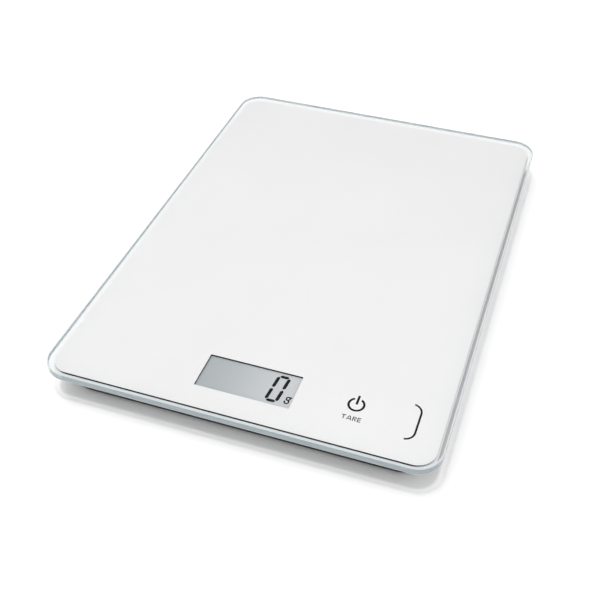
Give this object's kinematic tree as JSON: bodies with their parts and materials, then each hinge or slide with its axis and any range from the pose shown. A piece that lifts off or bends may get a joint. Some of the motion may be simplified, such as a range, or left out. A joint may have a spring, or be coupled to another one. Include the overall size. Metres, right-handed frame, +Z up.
{
  "type": "kitchen scale",
  "caption": "Flat kitchen scale: rounded glass platter on a slim two-part housing with a display window, touch key, load-cell feet and an underside battery door.",
  "frame": {"origin": "on the ground, under the middle of the glass platter", "axes": "+X to the right and +Y away from the user who reads the display, +Z up"},
  "size_m": [0.185, 0.255, 0.018],
  "materials": {
    "platter_glass": "clear tempered float glass, 4 mm, ground and polished edge",
    "black_foam": "closed-cell foam tape, matt",
    "white_abs": "moulded ABS, satin",
    "charcoal_abs": "moulded ABS, fine spark-eroded grain",
    "grey_abs": "moulded ABS",
    "black_rubber": "moulded rubber, matt",
    "spring_steel": "stamped spring steel, nickel plated",
    "nickel_plate": "nickel-plated steel strip and wire",
    "screw_steel": "zinc-plated steel",
    "display_glass": "polariser film on display glass",
    "silver_foil": "reflective film",
    "zebra_rubber": "striped conductive silicone",
    "green_board": "solder mask on glass-fibre board",
    "black_epoxy": "potting epoxy and switch body",
    "battery_jacket": "printed film jacket, plain",
    "copper_foil": "copper foil, lacquered",
    "white_silicone": "silicone coat over strain gauge, button plunger",
    "grey_pvc": "PVC lead",
    "red_pvc": "PVC lead",
    "black_pvc": "PVC lead"
  },
  "bodies": {
    "scale_body": {"battery_lead_black": "black_pvc", "battery_lead_red": "red_pvc", "battery_left": "battery_jacket", "battery_middle": "battery_jacket", "battery_right": "battery_jacket", "board_screw_1": "screw_steel", "board_screw_2": "screw_steel", "bottom_cover": "charcoal_abs", "buffer_capacitor": "battery_jacket", "contact_back_bridge": "nickel_plate", "contact_front_bridge": "nickel_plate", "contact_minus": "nickel_plate", "contact_plus": "nickel_plate", "controller_blob": "black_epoxy", "cover_screw_1": "screw_steel", "cover_screw_2": "screw_steel", "cover_screw_3": "screw_steel", "cover_screw_4": "screw_steel", "cover_screw_5": "screw_steel", "cover_screw_6": "screw_steel", "cover_screw_7": "screw_steel", "cover_screw_8": "screw_steel", "glass_platter": "platter_glass", "lcd_gasket": "black_foam", "lcd_panel": "display_glass", "lcd_reflector": "silver_foil", "load_cell_back_left": "spring_steel", "load_cell_back_right": "spring_steel", "load_cell_front_left": "spring_steel", "load_cell_front_right": "spring_steel", "load_cell_lead_back_left": "grey_pvc", "load_cell_lead_back_right": "grey_pvc", "load_cell_lead_front_left": "grey_pvc", "load_cell_lead_front_right": "grey_pvc", "main_board": "green_board", "platter_tape": "black_foam", "strain_gauge_back_left": "white_silicone", "strain_gauge_back_right": "white_silicone", "strain_gauge_front_left": "white_silicone", "strain_gauge_front_right": "white_silicone", "touch_pad": "copper_foil", "touch_spring": "spring_steel", "unit_switch": "black_epoxy", "upper_housing": "white_abs", "zebra_strip_back": "zebra_rubber", "zebra_strip_front": "zebra_rubber"},
    "foot_front_left": {"foot_carrier_front_left": "charcoal_abs", "foot_pad_front_left": "black_rubber"},
    "foot_front_right": {"foot_carrier_front_right": "charcoal_abs", "foot_pad_front_right": "black_rubber"},
    "foot_back_left": {"foot_carrier_back_left": "charcoal_abs", "foot_pad_back_left": "black_rubber"},
    "foot_back_right": {"foot_carrier_back_right": "charcoal_abs", "foot_pad_back_right": "black_rubber"},
    "unit_button": {"unit_button": "grey_abs", "unit_switch_plunger": "white_silicone"},
    "battery_door": {"battery_door": "charcoal_abs"}
  },
  "joints": [
    {"name": "foot_front_left_press", "type": "slide", "parent": "scale_body", "child": "foot_front_left", "axis": [0, 0, 1], "range_m": [0, 0.0003], "stiffness_N_per_m": 40000},
    {"name": "foot_front_right_press", "type": "slide", "parent": "scale_body", "child": "foot_front_right", "axis": [0, 0, 1], "range_m": [0, 0.0003], "stiffness_N_per_m": 40000},
    {"name": "foot_back_left_press", "type": "slide", "parent": "scale_body", "child": "foot_back_left", "axis": [0, 0, 1], "range_m": [0, 0.0003], "stiffness_N_per_m": 40000},
    {"name": "foot_back_right_press", "type": "slide", "parent": "scale_body", "child": "foot_back_right", "axis": [0, 0, 1], "range_m": [0, 0.0003], "stiffness_N_per_m": 40000},
    {"name": "unit_button_press", "type": "slide", "parent": "scale_body", "child": "unit_button", "axis": [0, 0, 1], "range_m": [0, 0.0005], "stiffness_N_per_m": 1200},
    {"name": "battery_door_swing", "type": "hinge", "parent": "scale_body", "child": "battery_door", "pos_m": [0, -0.009, 0.0021], "axis": [-1, 0, 0], "range_deg": [0, 80]}
  ]
}
